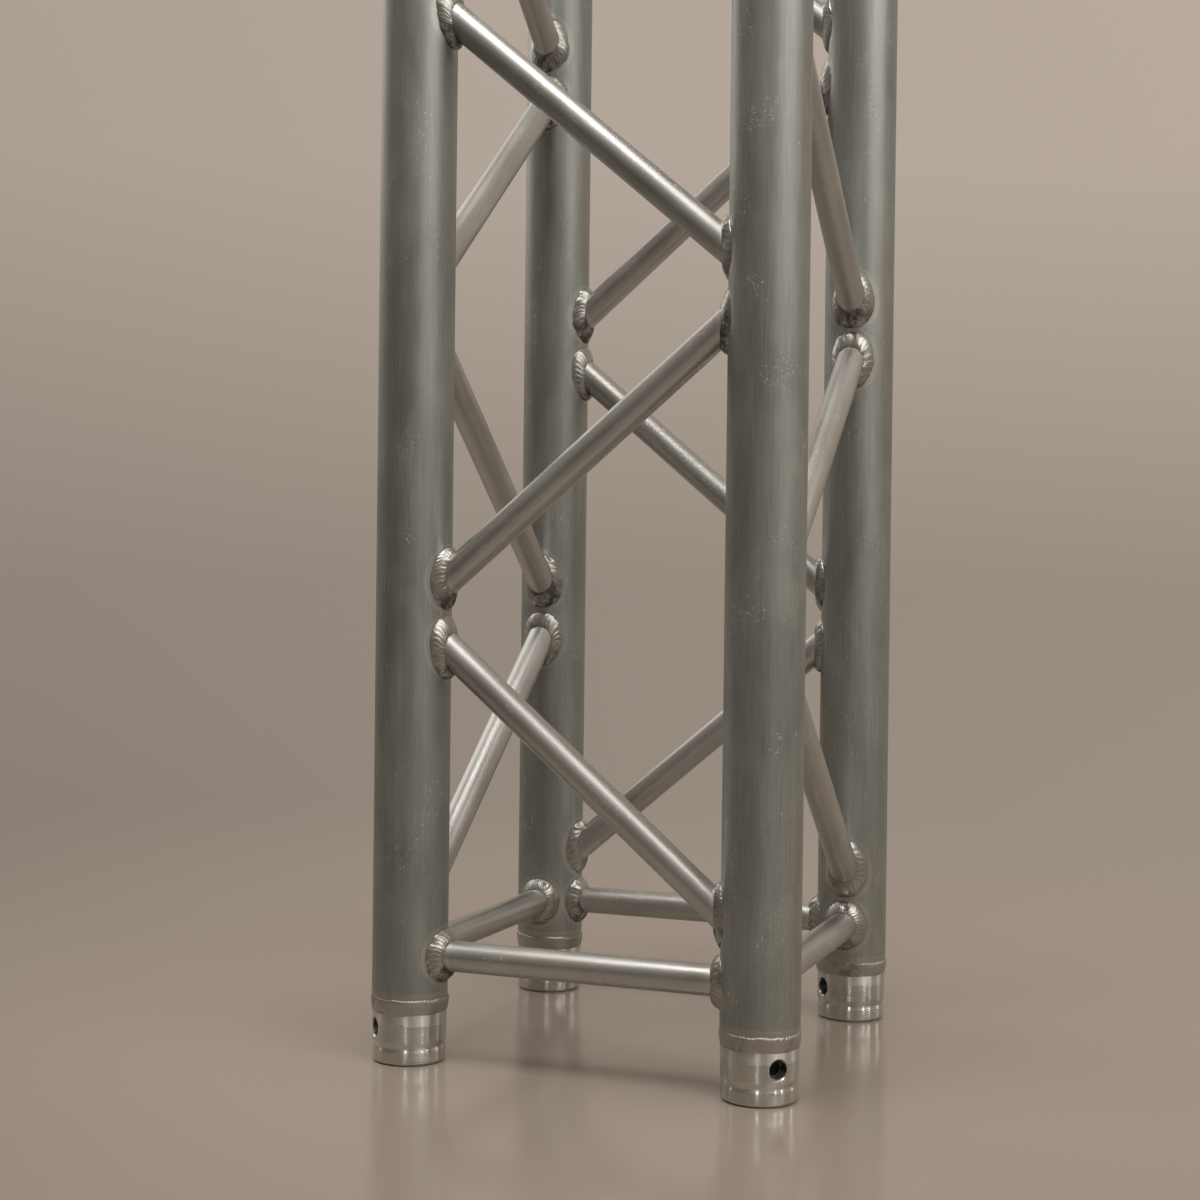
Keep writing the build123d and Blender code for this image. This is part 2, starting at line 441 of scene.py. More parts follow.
def fillet_grid(rng, end):
    """Points of one fillet weld, with its ripple height, and its soot and painted shade from 0 to 1.
    It is laid in two runs, one up or down each side of the brace."""
    corner, ahead, normal, lean, height = end
    turn = np.linspace(0, 2 * math.pi, fillet_steps_round, endpoint=False)
    along_brace = math.cos(lean) * ahead + math.sin(lean) * UP
    over_brace = math.cos(lean) * UP - math.sin(lean) * ahead
    middle = corner_centre(corner) + height * UP
    radial = np.cos(turn)[:, None] * over_brace + np.sin(turn)[:, None] * normal
    length = saddle_length(turn, lean)
    seam = middle + length[:, None] * along_brace + brace_radius * radial

    runs_up = rng.uniform() < 0.6
    end_turn = rng.normal() * 0.25 + (0 if runs_up else math.pi)
    from_end = np.abs((turn - end_turn + math.pi) % (2 * math.pi) - math.pi)
    weld_radius = brace_radius + 0.55 * fillet_leg
    pitch = ripple_pitch * rng.uniform(0.7, 1.25)
    progress = -from_end * weld_radius / pitch + wobble(rng, turn, (1, 2, 3, 5), 0.25)

    tip = fillet_tip * np.abs(np.cos(turn)) ** 3
    leg_waves = (1, 2, 3, 5, 8, 13)
    leg_chord = fillet_leg + tip + wobble(rng, turn, leg_waves, fillet_leg_wobble)
    leg_brace = fillet_leg * 0.95 + wobble(rng, turn, leg_waves, fillet_leg_wobble)
    leg_chord = leg_chord + ripple_on_chord * ripple_shape(progress)
    leg_brace = leg_brace + ripple_on_brace * ripple_shape(progress)

    toe_round, toe_up = toe_on_chord(turn, lean, leg_chord)
    angle = toe_round / chord_radius
    chord_way = np.cos(angle)[:, None] * ahead + np.sin(angle)[:, None] * normal
    toe_chord = middle + (chord_radius - toe_sink) * chord_way + toe_up[:, None] * UP
    toe_brace = middle + (length + leg_brace)[:, None] * along_brace
    toe_brace = toe_brace + (brace_radius - toe_sink) * radial

    lift = (toe_chord + toe_brace) / 2 - seam
    lift = lift / np.linalg.norm(lift, axis=1)[:, None]
    part = np.linspace(0, 1, fillet_steps_across)
    crown = 4 * part * (1 - part)
    width = np.linalg.norm(toe_brace - toe_chord, axis=1)
    to_side = width[:, None] * (part - rng.uniform(0.35, 0.6))
    to_crater = np.hypot(from_end[:, None] * weld_radius, to_side)
    in_crater = np.exp(-(to_crater / crater_rim) ** 6)
    phase = progress[:, None] + ripple_arc / pitch * crown[None, :] ** 0.8
    rings = 1.5 * ripple_shape(-to_crater / crater_ring)
    ripple = ripple_shape(phase) * (1 - in_crater) + rings * in_crater

    bulge = fillet_bulge + wobble(rng, turn, (1, 2, 3, 4, 7), fillet_bulge_wobble)
    strength = np.clip(1 + wobble(rng, turn, (1, 2, 3), 0.35), 0.35, 1.7)
    rise = bulge[:, None] * crown ** 0.75
    rise = rise + ripple_height * strength[:, None] * ripple * np.clip(crown / 0.35, 0, 1)
    rise = rise + crater_shape(to_crater, crown)
    start_lump = np.exp(-((math.pi - from_end) * weld_radius / start_lump_radius) ** 2)
    rise = rise + start_lump_height * start_lump[:, None] * crown
    across_weld = toe_chord[:, None, :] * (1 - part[:, None]) + toe_brace[:, None, :] * part[:, None]
    grid = across_weld + rise[:, :, None] * lift[:, None, :]
    root = seam - fillet_root_depth * lift
    grid = np.concatenate([grid, root[:, None, :]], 1)

    # Soot and painted shade on the lower side of the weld round the brace, and soot towards the weld's
    # edges
    underside_soot_and_shade = np.clip(-np.cos(turn - rng.normal() * 0.4) - 0.25, 0, 1)
    soot_and_shade = underside_soot_and_shade[:, None] * rng.uniform(0.5, 1.2) + 0.35 * (1 - crown ** 0.5)
    soot_and_shade = np.pad(np.clip(soot_and_shade, 0, 1), ((0, 0), (0, 1)))
    ripple = np.pad(ripple, ((0, 0), (0, 1)))
    return grid, ripple, soot_and_shade


def make_fillet(number, end, material):
    """The weld round one brace end, as its own piece."""
    grid, ripple, soot_and_shade = fillet_grid(np.random.default_rng(100 + number), end)
    values = {"ripple": ripple.ravel(), "soot_and_shade": soot_and_shade.ravel(), "tube": grid.reshape(-1, 3)}
    corner = end[0]
    name = f"fillet_{corner}_{number}"
    return make_piece(name, [grid], material, ["brace_welds_" + corner], values)


def distance_to_welds(corner, way, height):
    """Distance on the chord's surface from each point to the nearest weld toe, up to halo_reach."""
    centre_angle = np.arctan2(way[..., 1], way[..., 0])
    nearest = np.full(height.shape, halo_reach)
    turn = np.linspace(0, 2 * math.pi, 72, endpoint=False)
    for end in brace_ends():
        if end[0] != corner:
            continue
        ahead, normal, lean, middle = end[1:]
        toe_round, toe_up = toe_on_chord(turn, lean, fillet_leg)
        base = math.atan2(ahead[1], ahead[0])
        side = 1 if ahead[0] * normal[1] - ahead[1] * normal[0] > 0 else -1
        angle = (centre_angle - base + math.pi) % (2 * math.pi) - math.pi
        place_round = side * angle * chord_radius
        place_up = height - middle
        close = (np.abs(place_round) < halo_search) & (np.abs(place_up) < halo_search)
        gap = np.hypot(place_round[close][:, None] - toe_round, place_up[close][:, None] - toe_up)
        nearest[close] = np.minimum(nearest[close], gap.min(1))
    girth = np.minimum(height - chord_bottom, chord_top - height) - girth_overlap
    return np.minimum(nearest, np.clip(girth, 0, halo_reach))


def make_chord(corner, material):
    """A chord: a tube with bevelled ends and shallow dents."""
    rng = np.random.default_rng(10 + corner_names.index(corner))
    turn = np.linspace(0, 2 * math.pi, chord_steps_round, endpoint=False)
    way = np.stack([np.cos(turn), np.sin(turn), np.zeros_like(turn)], 1)
    outer = np.linspace(chord_bottom + chord_bevel, chord_top - chord_bevel, chord_rows)
    inner = np.linspace(chord_top, chord_bottom, chord_rows_inside)
    bevel_radius = chord_radius - chord_bevel
    heights = np.concatenate([[chord_bottom], outer, [chord_top], inner])
    inner_radius = np.full(len(inner), chord_radius - chord_wall)
    radii = [[bevel_radius], np.full(chord_rows, chord_radius), [bevel_radius], inner_radius]
    radii = np.repeat(np.concatenate(radii)[None, :], chord_steps_round, 0)
    is_outer = radii == chord_radius
    for _ in range(dent_count):
        dent_turn = rng.uniform(0, 2 * math.pi)
        dent_height = rng.uniform(chord_bottom, chord_top)
        size = dent_radius * rng.uniform(0.5, 1.4)
        round_gap = chord_radius * np.abs((turn - dent_turn + math.pi) % (2 * math.pi) - math.pi)
        up_gap = (heights[None, :] - dent_height) / dent_stretch
        gap = (round_gap[:, None] / size) ** 2 + (up_gap / size) ** 2
        radii = radii - dent_depth * rng.uniform(0.4, 1.2) * np.exp(-gap) * is_outer
    centre = corner_centre(corner)
    grid = centre + radii[:, :, None] * way[:, None, :] + heights[None, :, None] * UP
    tube = grid - centre
    tube[:, :, 2] += 2.0 * (1 + corner_names.index(corner))  # each chord has its own marks
    way_grid = np.repeat(way[:, None, :], len(heights), 1)
    height_grid = np.repeat(heights[None, :], chord_steps_round, 0)
    values = {
        "tube": tube.reshape(-1, 3),
        "weld_gap": distance_to_welds(corner, way_grid, height_grid).ravel(),
    }
    name = "chord_" + corner
    return make_piece("tube_" + name, [grid], material, [name], values)


def make_brace(number, brace, material):
    """A rung or diagonal: a tube with a saddle cut at each end."""
    cad_node, face, tilt, middle = brace
    turn = np.linspace(0, 2 * math.pi, brace_steps_round, endpoint=False)
    along_brace = math.cos(tilt) * across(face) + math.sin(tilt) * UP
    over_brace = math.cos(tilt) * UP - math.sin(tilt) * across(face)
    radial = np.cos(turn)[:, None] * over_brace + np.sin(turn)[:, None] * outward(face)
    left = corner_centre(corner_names[face_names.index(face)])
    left = left + (middle - half_spacing * math.tan(tilt)) * UP
    full_length = 2 * half_spacing / math.cos(tilt)
    first = saddle_length(turn, tilt) - saddle_bite
    last = full_length - saddle_length(turn, -tilt) + saddle_bite
    outer = np.linspace(0, 1, brace_rows)
    inner = np.linspace(1, 0, brace_rows_inside)
    share = np.concatenate([outer, inner])
    inner_radius = np.full(brace_rows_inside, brace_radius - brace_wall)
    radii = np.concatenate([np.full(brace_rows, brace_radius), inner_radius])
    place = first[:, None] * (1 - share) + last[:, None] * share
    grid = left + place[:, :, None] * along_brace + radii[None, :, None] * radial[:, None, :]
    tube = np.stack([
        radii[None, :] * np.cos(turn)[:, None],
        radii[None, :] * np.sin(turn)[:, None],
        place + 0.7 * number + 20,  # each brace has its own marks
    ], -1)
    gap = np.minimum(place - first[:, None], last[:, None] - place) - fillet_leg
    values = {
        "tube": tube.reshape(-1, 3),
        "weld_gap": np.clip(gap, 0, halo_reach).ravel(),
    }
    return make_piece("tube_" + cad_node, [grid], material, [cad_node], values)


def make_girth_weld(end, corner, material):
    """The weld that joins a receiver to its chord: a flat cap with scales along its upper edge."""
    cad_node = f"girth_weld_{end}_{corner}"
    low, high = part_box(cad_node)
    rng = np.random.default_rng(200 + corner_names.index(corner) + 4 * end_names.index(end))
    turn = np.linspace(0, 2 * math.pi, girth_steps_round, endpoint=False)
    cap = (high.x - low.x) / 2
    receiver_low, receiver_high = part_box(f"receiver_{end}_{corner}")
    lower_radius = (receiver_high.x - receiver_low.x) / 2
    width = high.z - low.z
    part = np.linspace(0, 1, girth_steps_across)
    scales = round(2 * math.pi * cap / girth_scale_pitch)
    scale_round = scales * turn / (2 * math.pi) + wobble(rng, turn, (3, 5, 8, 13), 0.5)
    scale = ripple_shape(scale_round[:, None] - girth_scale_slant * (part - 0.6))
    lines = round(2 * math.pi * cap / girth_line_pitch)
    line_round = lines * turn / (2 * math.pi) + wobble(rng, turn, (3, 5, 8, 13), 0.5)
    line = ripple_shape(line_round[:, None] + 0.5 * part * (1 - part))
    on_chord_side = np.clip((part - 0.55) / 0.2, 0, 1) * np.clip((1.0 - part) / 0.06, 0, 1)
    on_body_side = np.clip(part / 0.1, 0, 1) * np.clip((0.75 - part) / 0.15, 0, 1)
    chord_toe = width + girth_scale_on_chord * ripple_shape(scale_round - 0.9)
    chord_toe = chord_toe + wobble(rng, turn, (2, 3, 5, 9, 14), girth_chord_toe_wobble)
    receiver_toe = wobble(rng, turn, (1, 2, 4, 7), girth_receiver_toe_wobble)
    up = receiver_toe[:, None] * (1 - part) + chord_toe[:, None] * part
    base = lower_radius * (1 - part) + chord_radius * part - toe_sink
    bulge = girth_cap + toe_sink + wobble(rng, turn, (1, 2, 3, 5), girth_cap_wobble)
    band = (1 - np.abs(2 * part - 1) ** 4) ** 0.7 * (0.8 + 0.3 * part)
    radius = base + bulge[:, None] * band
    radius = radius + girth_scale_height * scale * on_chord_side
    radius = radius + girth_line_height * line * on_body_side
    ripple = np.clip(scale * on_chord_side + 0.5 * line * on_body_side, 0, 1)
    # Soot all round the girth weld, with more along its edge on the chord; the same values carry painted
    # shade on the fillet welds
    soot_and_shade = 0.22 + wobble(rng, turn, (1, 2, 3, 5), 0.16)[:, None] + 0.2 * (part > 0.93)
    soot_and_shade = np.clip(soot_and_shade, 0, 1)
    root = np.full((girth_steps_round, 1), lower_radius - girth_root_depth)
    radius = np.concatenate([radius, root], 1)
    up = np.concatenate([up, np.full((girth_steps_round, 1), width / 2)], 1)
    height = low.z + up if end == "bottom" else high.z - up
    way = np.stack([np.cos(turn), np.sin(turn), np.zeros_like(turn)], 1)
    grid = corner_centre(corner) + radius[:, :, None] * way[:, None, :] + height[:, :, None] * UP
    values = {
        "ripple": np.pad(ripple, ((0, 0), (0, 1))).ravel(),
        "soot_and_shade": np.pad(soot_and_shade, ((0, 0), (0, 1))).ravel(),
        "tube": grid.reshape(-1, 3),
    }
    return make_piece("bead_" + cad_node, [grid], material, [cad_node], values)


def fine_line(corners, step):
    """The corners of an outline with a point each step between them."""
    points = []
    for (r0, z0), (r1, z1) in zip(corners, corners[1:] + corners[:1]):
        count = max(1, int(math.hypot(r1 - r0, z1 - z0) / step))
        for k in range(count):
            points.append((r0 + (r1 - r0) * k / count, z0 + (z1 - z0) * k / count))
    return np.array(points)


def softened(corners, size):
    """Each corner of an outline replaced by two, size away from it."""
    made = []
    count = len(corners)
    for k, (r, z) in enumerate(corners):
        for other in (corners[k - 1], corners[(k + 1) % count]):
            length = math.hypot(other[0] - r, other[1] - z)
            share = min(size / length, 0.3)
            made.append((r + (other[0] - r) * share, z + (other[1] - z) * share))
    return made


def receiver_outline(body_radius, full_height):
    """Corners of half the receiver's section, as (radius, height from the open end)."""
    return [
        (socket_mouth_radius + socket_chamfer, 0.0),
        (land_radius - end_chamfer, 0.0),
        (land_radius, end_chamfer),
        (land_radius, land_top),
        (groove_radius, groove_deepest),
        (body_radius, groove_top),
        (body_radius, body_top),
        (body_radius - body_chamfer, body_top + body_chamfer_height),
        (spigot_radius, body_top + shoulder_height),
        (spigot_radius, full_height - spigot_lead),
        (spigot_radius - spigot_lead, full_height),
        (socket_throat_radius, full_height),
        (socket_throat_radius, socket_depth),
        (socket_mouth_radius, socket_chamfer),
    ]


def make_hole_cutter(place, direction, reach):
    """A bar with a flare at each end, as the pin hole and its countersinks.
    The profile's first and last rows are loose points that no face uses. They stay, because the
    cut takes some of its edge points' values by the order of the cutter's points."""
    flare = pin_hole_radius + pin_hole_countersink
    outside = flare + cutter_flare
    profile = [
        (0.0, -reach - cutter_overrun),
        (outside, -reach - cutter_overrun),
        (outside, -reach - cutter_flare),
        (flare, -reach),
        (pin_hole_radius, -reach + countersink_depth),
        (pin_hole_radius, reach - countersink_depth),
        (flare, reach),
        (outside, reach + cutter_flare),
        (outside, reach + cutter_overrun),
        (0.0, reach + cutter_overrun),
    ]
    turns = hole_steps_round
    turn = np.linspace(0, 2 * math.pi, turns, endpoint=False)
    points = []
    for radius, along in profile:
        for angle in turn:
            points.append((radius * math.cos(angle), radius * math.sin(angle), along))
    faces = []
    for row in range(1, len(profile) - 2):
        for k in range(turns):
            faces.append((row * turns + k, row * turns + (k + 1) % turns,
                          (row + 1) * turns + (k + 1) % turns, (row + 1) * turns + k))
    faces.append(tuple(turns + k for k in range(turns))[::-1])
    faces.append(tuple((len(profile) - 2) * turns + k for k in range(turns)))
    mesh = bpy.data.meshes.new("cutter")
    mesh.from_pydata(points, [], faces)
    mesh.update()
    cutter = bpy.data.objects.new("cutter", mesh)
    bpy.context.scene.collection.objects.link(cutter)
    along_hole = Vector(direction).to_track_quat("Z", "X").to_matrix().to_4x4()
    cutter.matrix_world = Matrix.Translation(place) @ along_hole
    return cutter


def make_receiver(end, corner, material):
    """A receiver: turned from its outline, then drilled across for the pin."""
    cad_node = f"receiver_{end}_{corner}"
    low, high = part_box(cad_node)
    body_radius = (high.x - low.x) / 2
    outline = softened(receiver_outline(body_radius, high.z - low.z), receiver_edge)
    line = fine_line(outline, receiver_step)
    turn = np.linspace(0, 2 * math.pi, receiver_steps_round, endpoint=False)
    way = np.stack([np.cos(turn), np.sin(turn), np.zeros_like(turn)], 1)
    height = low.z + line[:, 1] if end == "bottom" else high.z - line[:, 1]
    centre = corner_centre(corner)
    grid = centre + line[None, :, 0, None] * way[:, None, :] + height[None, :, None] * UP
    tube = grid - centre
    tube[:, :, 2] = line[:, 1] + 0.2 * corner_names.index(corner) + end_names.index(end)
    gap = np.repeat(np.abs(line[:, 1] - weld_line_height)[None, :], receiver_steps_round, 0)
    values = {"tube": tube.reshape(-1, 3), "weld_gap": np.clip(gap, 0, halo_reach).ravel()}
    name = "turned_" + cad_node
    piece = make_piece(name, [grid], material, [cad_node], values)
    diagonal = centre / np.linalg.norm(centre)
    hole_height = low.z + pin_hole_height if end == "bottom" else high.z - pin_hole_height
    cutter = make_hole_cutter(centre + hole_height * UP, diagonal, body_radius)
    cut = piece.modifiers.new("pin_hole", "BOOLEAN")
    cut.operation = "DIFFERENCE"
    cut.solver = "EXACT"
    cut.object = cutter
    evaluated = piece.evaluated_get(bpy.context.evaluated_depsgraph_get())
    mesh = bpy.data.meshes.new_from_object(evaluated)
    piece.modifiers.clear()
    piece.data = mesh
    bpy.data.objects.remove(cutter)
    mesh.polygons.foreach_set("use_smooth", np.ones(len(mesh.polygons), bool))
    mesh.set_sharp_from_angle(angle=receiver_sharp_angle)


# ---------------------------------------------------------------- materials
# A noise's scale is in cells for each metre, in both directions across the tube and along it.


def connect(tree, socket, value):
    """Links another node's output to a socket, or sets the socket to a number or colour."""
    if isinstance(value, bpy.types.NodeSocket):
        tree.links.new(value, socket)
    else:
        socket.default_value = value


def node(tree, kind, inputs=None, **settings):
    """Adds a shader node with its inputs and settings."""
    made = tree.nodes.new("ShaderNode" + kind)
    for key, value in settings.items():
        setattr(made, key, value)
    for key, value in (inputs or {}).items():
        connect(tree, made.inputs[key], value)
    return made


def new_metal(name):
    """A metal material with nothing else set, as (material, node tree, shader)."""
    material = bpy.data.materials.new(name)
    material.use_nodes = True
    tree = material.node_tree
    shader = tree.nodes["Principled BSDF"]
    shader.inputs["Metallic"].default_value = 1.0
    return material, tree, shader


def own_place(tree, scale):
    """The surface's own place, along and round its tube, times a scale for each axis."""
    place = node(tree, "Attribute", attribute_name="tube").outputs["Vector"]
    scaled = node(tree, "VectorMath", {0: place, 1: scale}, operation="MULTIPLY")
    return scaled.outputs["Vector"]


def own_value(tree, name):
    """One of the numbers that each point of the mesh carries."""
    return node(tree, "Attribute", attribute_name=name).outputs["Fac"]


def noise(tree, scale, detail=3.0, roughness=0.5, distortion=0.0):
    """Noise that is fixed to the piece, from 0 to 1 and mostly near 0.5."""
    inputs = {"Vector": own_place(tree, scale), "Scale": 1.0, "Detail": detail,
              "Roughness": roughness, "Distortion": distortion}
    return node(tree, "TexNoise", inputs).outputs["Fac"]


def spots(tree, scale, size, share):
    """1 in small scattered spots and 0 elsewhere. share is how many of the cells have one."""
    cells = node(tree, "TexVoronoi", {"Vector": own_place(tree, scale), "Scale": 1.0})
    inside = remap(tree, cells.outputs["Distance"], size, size * 0.6, 0, 1)
    parts = node(tree, "SeparateColor", {0: cells.outputs["Color"]})
    chosen = remap(tree, parts.outputs[0], share, share * 0.98, 0, 1)
    return math_node(tree, "MULTIPLY", inside, chosen)


def remap(tree, value, low, high, to_low, to_high):
    """value from low to high becomes to_low to to_high, and goes no further."""
    inputs = {"Value": value, "From Min": low, "From Max": high, "To Min": to_low, "To Max": to_high}
    return node(tree, "MapRange", inputs).outputs["Result"]


def math_node(tree, operation, a, b=0.0):
    """One sum on two numbers, or on the first alone."""
    return node(tree, "Math", {0: a, 1: b}, operation=operation).outputs[0]


def mix_colour(tree, share, a, b):
    """From a colour, where share is 0, to another, where it is 1."""
    made = node(tree, "Mix", {"Factor": share}, data_type="RGBA")
    connect(tree, made.inputs[6], a)
    connect(tree, made.inputs[7], b)
    return made.outputs[2]


def bump(tree, height, distance, before=None):
    """Surface relief of distance metres, on top of the relief before it."""
    inputs = {"Height": height, "Distance": distance, "Strength": 1.0}
    if before is not None:
        inputs["Normal"] = before
    return node(tree, "Bump", inputs).outputs["Normal"]


def scribbles(tree, scale, width, wanted):
    """1 along thin stray lines, in patches, and 0 elsewhere."""
    line = math_node(tree, "ABSOLUTE", math_node(tree, "SUBTRACT", noise(tree, scale, 1.5), 0.5))
    line = remap(tree, line, width, width * 0.4, 0, 1)
    patch = remap(tree, noise(tree, tuple(x * 0.13 for x in scale), 2), wanted, wanted + 0.03, 0, 1)
    broken = remap(tree, noise(tree, tuple(x * 1.9 for x in scale), 1), 0.47, 0.53, 0, 1)
    return math_node(tree, "MULTIPLY", math_node(tree, "MULTIPLY", line, patch), broken)


def weld_halo(tree, width, ragged):
    """The cleaned band beside a weld, and the thin pale line that ends it, each from 0 to 1."""
    stray = remap(tree, ragged, 0.2, 0.8, -halo_stray, halo_stray)
    gap = math_node(tree, "ADD", own_value(tree, "weld_gap"), stray)
    band = remap(tree, gap, width, width - halo_softness, 0, 1)
    line = math_node(tree, "ABSOLUTE", math_node(tree, "SUBTRACT", gap, width))
    kept = remap(tree, ragged, 0.42, 0.55, 0.25, 1)
    rings = math_node(tree, "SINE", math_node(tree, "MULTIPLY", gap, 2 * math.pi / halo_ring))
    band = math_node(tree, "MULTIPLY", band, remap(tree, rings, -1, 1, 0.55, 1))
    return band, math_node(tree, "MULTIPLY", remap(tree, line, 0.0008, 0.0001, 0, 1), kept)


def extruded_aluminium():
    """Chord tube: satin mill finish with die lines, dull clouds, nicks and a cleaned edge by welds."""
    material, tree, shader = new_metal("extruded_aluminium")
    lines = noise(tree, (560, 560, 1.6), 5, 0.7)
    fine_lines = noise(tree, (1500, 1500, 34), 3, 0.6)
    clouds = noise(tree, (30, 30, 11), 5, 0.6, 0.8)
    smears = noise(tree, (120, 120, 14), 4, 0.6, 0.3)
    grain = noise(tree, (2200, 2200, 1500), 2)
    nicks = spots(tree, (240, 240, 60), 0.09, 0.1)
    marks = math_node(tree, "MAXIMUM", nicks, scribbles(tree, (330, 330, 210), 0.011, 0.58))
    band, pale_line = weld_halo(tree, chord_halo, clouds)

    colour = mix_colour(tree, remap(tree, clouds, 0.3, 0.7, 0, 1), chord_dark, chord_light)
    colour = mix_colour(tree, remap(tree, lines, 0.4, 0.65, 0, 0.2), colour, die_line_colour)
    colour = mix_colour(tree, remap(tree, fine_lines, 0.38, 0.66, 0, 0.32), colour, fine_line_colour)
    colour = mix_colour(tree, remap(tree, smears, 0.5, 0.75, 0, 0.25), colour, smear_colour)
    colour = mix_colour(tree, math_node(tree, "MULTIPLY", marks, 0.9), colour, chord_scratch)
    colour = mix_colour(tree, math_node(tree, "MULTIPLY", band, 0.6), colour, chord_cleaned)
    colour = mix_colour(tree, math_node(tree, "MULTIPLY", pale_line, 0.4), colour, chord_cleaned_edge)
    connect(tree, shader.inputs["Base Color"], colour)

    rough = remap(tree, clouds, 0.25, 0.75, *chord_roughness)
    rough = math_node(tree, "ADD", rough, remap(tree, smears, 0.3, 0.7, -0.03, 0.03))
    rough = math_node(tree, "SUBTRACT", rough, math_node(tree, "MULTIPLY", band, 0.06))
    connect(tree, shader.inputs["Roughness"], rough)

    normal = bump(tree, lines, 0.00002)
    normal = bump(tree, fine_lines, 0.000014, normal)
    normal = bump(tree, grain, 0.000005, normal)
    normal = bump(tree, marks, -0.00006, normal)
    connect(tree, shader.inputs["Normal"], normal)
    return material


def drawn_aluminium():
    """Brace tube: smoother and brighter than the chords, with lengthwise lines and light specks."""
    material, tree, shader = new_metal("drawn_aluminium")
    lines = noise(tree, (900, 900, 9), 3, 0.6)
    grain = noise(tree, (2400, 2400, 260), 3, 0.6)
    clouds = noise(tree, (50, 50, 18), 4, 0.55, 0.5)
    nicks = spots(tree, (380, 380, 120), 0.12, 0.15)
    specks = math_node(tree, "MAXIMUM", nicks, scribbles(tree, (520, 520, 260), 0.012, 0.56))
    band, pale_line = weld_halo(tree, brace_halo, clouds)

    colour = mix_colour(tree, remap(tree, clouds, 0.3, 0.7, 0, 1), brace_dark, brace_light)
    colour = mix_colour(tree, remap(tree, lines, 0.4, 0.7, 0, 0.3), colour, brace_line_colour)
    colour = mix_colour(tree, specks, colour, brace_speck)
    colour = mix_colour(tree, math_node(tree, "MULTIPLY", band, 0.4), colour, brace_cleaned)
    colour = mix_colour(tree, math_node(tree, "MULTIPLY", pale_line, 0.35), colour, brace_cleaned_edge)
    connect(tree, shader.inputs["Base Color"], colour)

    rough = remap(tree, clouds, 0.25, 0.75, *brace_roughness)
    rough = math_node(tree, "ADD", rough, math_node(tree, "MULTIPLY", band, 0.06))
    connect(tree, shader.inputs["Roughness"], rough)

    normal = bump(tree, lines, 0.000014)
    normal = bump(tree, grain, 0.000007, normal)
    normal = bump(tree, specks, -0.00004, normal)
    connect(tree, shader.inputs["Normal"], normal)
    return material


def turned_aluminium():
    """Receiver: bright, with fine rings from the lathe tool that run round it."""
    material, tree, shader = new_metal("turned_aluminium")
    shader.inputs["Anisotropic"].default_value = turned_anisotropy
    shader.inputs["Anisotropic Rotation"].default_value = 0.25
    tangent = node(tree, "Tangent", direction_type="RADIAL", axis="Z").outputs["Tangent"]
    connect(tree, shader.inputs["Tangent"], tangent)
    rings = noise(tree, (4, 4, 5200), 4, 0.7)
    bands = noise(tree, (6, 6, 420), 3, 0.5)
    clouds = noise(tree, (70, 70, 60), 4, 0.55, 0.6)
    nicks = spots(tree, (420, 420, 110), 0.10, 0.12)
    scuffs = noise(tree, (300, 300, 40), 4, 0.7)
    marks = math_node(tree, "MAXIMUM", nicks, scribbles(tree, (520, 520, 160), 0.010, 0.64))
    band = weld_halo(tree, receiver_halo, clouds)[0]

    colour = mix_colour(tree, remap(tree, clouds, 0.3, 0.7, 0, 1), receiver_dark, receiver_light)
    colour = mix_colour(tree, remap(tree, scuffs, 0.52, 0.72, 0, 0.4), colour, receiver_scuff)
    colour = mix_colour(tree, marks, colour, receiver_scratch)
    colour = mix_colour(tree, math_node(tree, "MULTIPLY", band, 0.6), colour, receiver_cleaned)
    connect(tree, shader.inputs["Base Color"], colour)

    rough = remap(tree, clouds, 0.25, 0.75, *receiver_roughness)
    rough = math_node(tree, "ADD", rough, remap(tree, bands, 0.3, 0.7, -0.02, 0.05))
    rough = math_node(tree, "ADD", rough, math_node(tree, "MULTIPLY", band, 0.25))
    connect(tree, shader.inputs["Roughness"], rough)

    normal = bump(tree, rings, 0.000012)
    normal = bump(tree, bands, 0.00001, normal)
    normal = bump(tree, marks, -0.00002, normal)
    connect(tree, shader.inputs["Normal"], normal)
    return material


def weld_aluminium(name, hollow_shade, ridge_highlight, polish):
    """Weld metal: scales with painted shade in their hollows (the first colour) and a painted highlight on
    their ridges (the second colour), pits, and soot from the arc, which on the fillet welds' lower sides
    is also painted shade.
    polish is the roughness where it is smoothest."""
    material, tree, shader = new_metal(name)
    ripple = own_value(tree, "ripple")
    clouds = noise(tree, (140, 140, 140), 3, 0.5, 0.4)
    grain = noise(tree, (1500, 1500, 1500), 3, 0.6)
    pits = spots(tree, (800, 800, 800), 0.25, 0.05)
    # Darkening from the mesh: soot, and painted shade on the fillet welds' lower sides
    soot_and_shade = math_node(tree, "MULTIPLY", own_value(tree, "soot_and_shade"), remap(tree, clouds, 0.35, 0.62, 0.0, 1.25))
    soot_and_shade = remap(tree, soot_and_shade, 0.15, 0.8, 0, 0.85)

    # Painted shade in the hollows between scales, and a painted highlight on their ridges
    colour = mix_colour(tree, remap(tree, ripple, 0.0, 0.9, 0, 1), hollow_shade, ridge_highlight)
    colour = mix_colour(tree, remap(tree, clouds, 0.4, 0.7, 0, 0.3), colour, weld_cloud)
    colour = mix_colour(tree, soot_and_shade, colour, soot_and_shade_colour)
    colour = mix_colour(tree, pits, colour, pit_colour)
    connect(tree, shader.inputs["Base Color"], colour)

    rough = remap(tree, clouds, 0.3, 0.7, polish, polish + 0.12)
    rough = math_node(tree, "ADD", rough, math_node(tree, "MULTIPLY", soot_and_shade, 0.3))
    connect(tree, shader.inputs["Roughness"], rough)

    normal = bump(tree, grain, 0.000006)
    normal = bump(tree, pits, -0.00015, normal)
    connect(tree, shader.inputs["Normal"], normal)
    return material


# ---------------------------------------------------------------- stage


